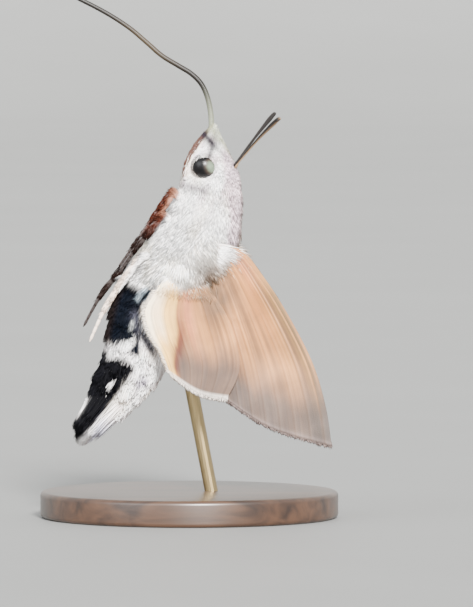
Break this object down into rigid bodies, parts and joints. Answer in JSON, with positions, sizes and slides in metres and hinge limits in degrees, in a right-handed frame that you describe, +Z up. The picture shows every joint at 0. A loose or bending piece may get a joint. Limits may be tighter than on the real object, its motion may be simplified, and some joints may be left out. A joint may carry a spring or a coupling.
{
  "type": "hummingbird hawk moth",
  "caption": "Life-size model of a hovering hawk moth with raised wings, long proboscis and furry body, on a small round display stand.",
  "frame": {"origin": "centre of the stand base's flat underside", "axes": "+Z up, -X towards the side that the moth's belly and proboscis face, -Y towards the moth's left side, which the picture shows"},
  "size_m": [0.0313, 0.027, 0.0503],
  "materials": {
    "white_fur": "short white and grey-brown fur",
    "abdomen_fur": "grey, blue-black and white scales and tufts",
    "tail_fur": "long dark scales in a fan",
    "eye": "glossy dark compound eye",
    "horn": "dark brown horn, satin",
    "forewing": "tan underside, grey-brown upper side",
    "hindwing": "cream and orange scales",
    "leg": "brown and pale scales",
    "stand_wood": "dark oiled wood",
    "stand_metal": "satin brass"
  },
  "bodies": {
    "root": {"head": "white_fur", "palp_left": "white_fur", "palp_right": "white_fur", "thorax": "white_fur", "abdomen": "abdomen_fur", "tail_fan": "tail_fur", "eye_left": "eye", "eye_right": "eye", "antenna_left": "horn", "antenna_right": "horn", "proboscis_base": "horn", "proboscis_middle": "horn", "proboscis_tip": "horn", "forewing_left": "forewing", "forewing_right": "forewing", "hindwing_left": "hindwing", "hindwing_right": "hindwing", "leg_front_left": "leg", "leg_front_right": "leg", "leg_middle_left": "leg", "leg_middle_right": "leg", "leg_hind_left": "leg", "leg_hind_right": "leg", "stand_base": "stand_wood", "stand_rod": "stand_metal"}
  },
  "joints": []
}
